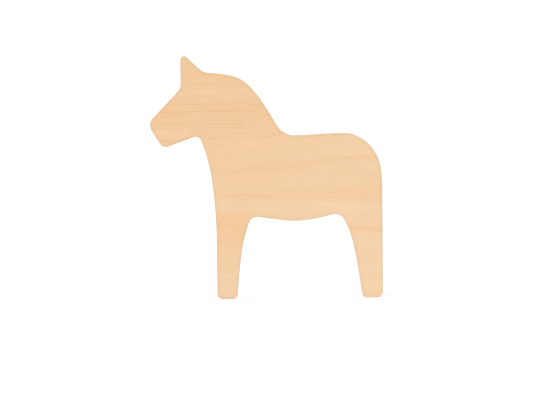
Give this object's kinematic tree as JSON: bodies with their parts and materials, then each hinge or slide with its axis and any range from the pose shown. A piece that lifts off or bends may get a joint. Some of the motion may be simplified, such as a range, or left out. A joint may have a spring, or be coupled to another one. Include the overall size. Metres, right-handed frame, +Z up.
{
  "type": "dala horse craft blank",
  "caption": "Flat plywood horse silhouette for painting or hanging, standing on two straight legs, with an upright ear and a high curved neck.",
  "frame": {"origin": "on the ground, below the middle of the silhouette and in the middle of the sheet's thickness", "axes": "+Z up, from the feet to the ear; +X from the nose towards the rump; +Y through the sheet, from the clear front face to the back face"},
  "size_m": [0.145, 0.006, 0.1524],
  "materials": {
    "face_birch": "matte",
    "back_birch": "matte",
    "crossband_birch": "matte",
    "core_birch": "matte",
    "cured_resin": "matte"
  },
  "bodies": {
    "root": {"face_veneer": "face_birch", "glue_film_1": "cured_resin", "front_crossband": "crossband_birch", "glue_film_2": "cured_resin", "core_veneer": "core_birch", "glue_film_3": "cured_resin", "back_crossband": "crossband_birch", "glue_film_4": "cured_resin", "back_veneer": "back_birch"}
  },
  "joints": []
}
